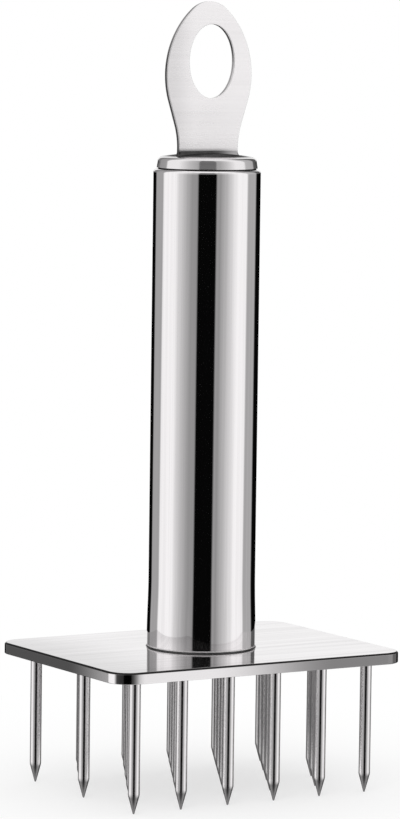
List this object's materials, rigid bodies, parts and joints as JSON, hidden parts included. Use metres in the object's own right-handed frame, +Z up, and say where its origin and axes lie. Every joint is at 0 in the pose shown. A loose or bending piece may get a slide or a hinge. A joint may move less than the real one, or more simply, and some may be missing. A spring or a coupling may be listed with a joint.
{
  "type": "needle meat tenderizer",
  "caption": "Hand tenderizer: a rectangular steel plate with a staggered bed of pointed needles below, a round tube handle above and a flat hanging tab with an oval eye.",
  "frame": {"origin": "under the middle of the base plate, at the height of the needle points", "axes": "+Z up along the handle axis, +X along the long side of the plate, +Y along its short side"},
  "size_m": [0.087, 0.065, 0.2065],
  "materials": {
    "brushed_sheet": "fine brushing along the long side, polished edges",
    "needle_steel": "bright drawn rod with a ground, darker point",
    "weld_metal": "cleaned weld, slightly tarnished",
    "polished_tube": "mirror polish with faint lengthwise polishing lines",
    "polished_cap": "turned and polished",
    "satin_sheet": "satin, rolled edges"
  },
  "bodies": {
    "root": {"base_plate": "brushed_sheet", "needle_r1_c1": "needle_steel", "needle_r1_c2": "needle_steel", "needle_r1_c3": "needle_steel", "needle_r1_c4": "needle_steel", "needle_r1_c5": "needle_steel", "needle_r1_c6": "needle_steel", "needle_r2_c1": "needle_steel", "needle_r2_c2": "needle_steel", "needle_r2_c3": "needle_steel", "needle_r2_c4": "needle_steel", "needle_r2_c5": "needle_steel", "needle_r3_c1": "needle_steel", "needle_r3_c2": "needle_steel", "needle_r3_c3": "needle_steel", "needle_r3_c4": "needle_steel", "needle_r3_c5": "needle_steel", "needle_r3_c6": "needle_steel", "needle_r4_c1": "needle_steel", "needle_r4_c2": "needle_steel", "needle_r4_c3": "needle_steel", "needle_r4_c4": "needle_steel", "needle_r4_c5": "needle_steel", "needle_r5_c1": "needle_steel", "needle_r5_c2": "needle_steel", "needle_r5_c3": "needle_steel", "needle_r5_c4": "needle_steel", "needle_r5_c5": "needle_steel", "needle_r5_c6": "needle_steel", "needle_root_welds": "weld_metal", "handle_tube": "polished_tube", "tube_foot_weld": "weld_metal", "handle_end_cap": "polished_cap", "hanging_tab": "satin_sheet", "tab_foot_weld": "weld_metal"}
  },
  "joints": []
}
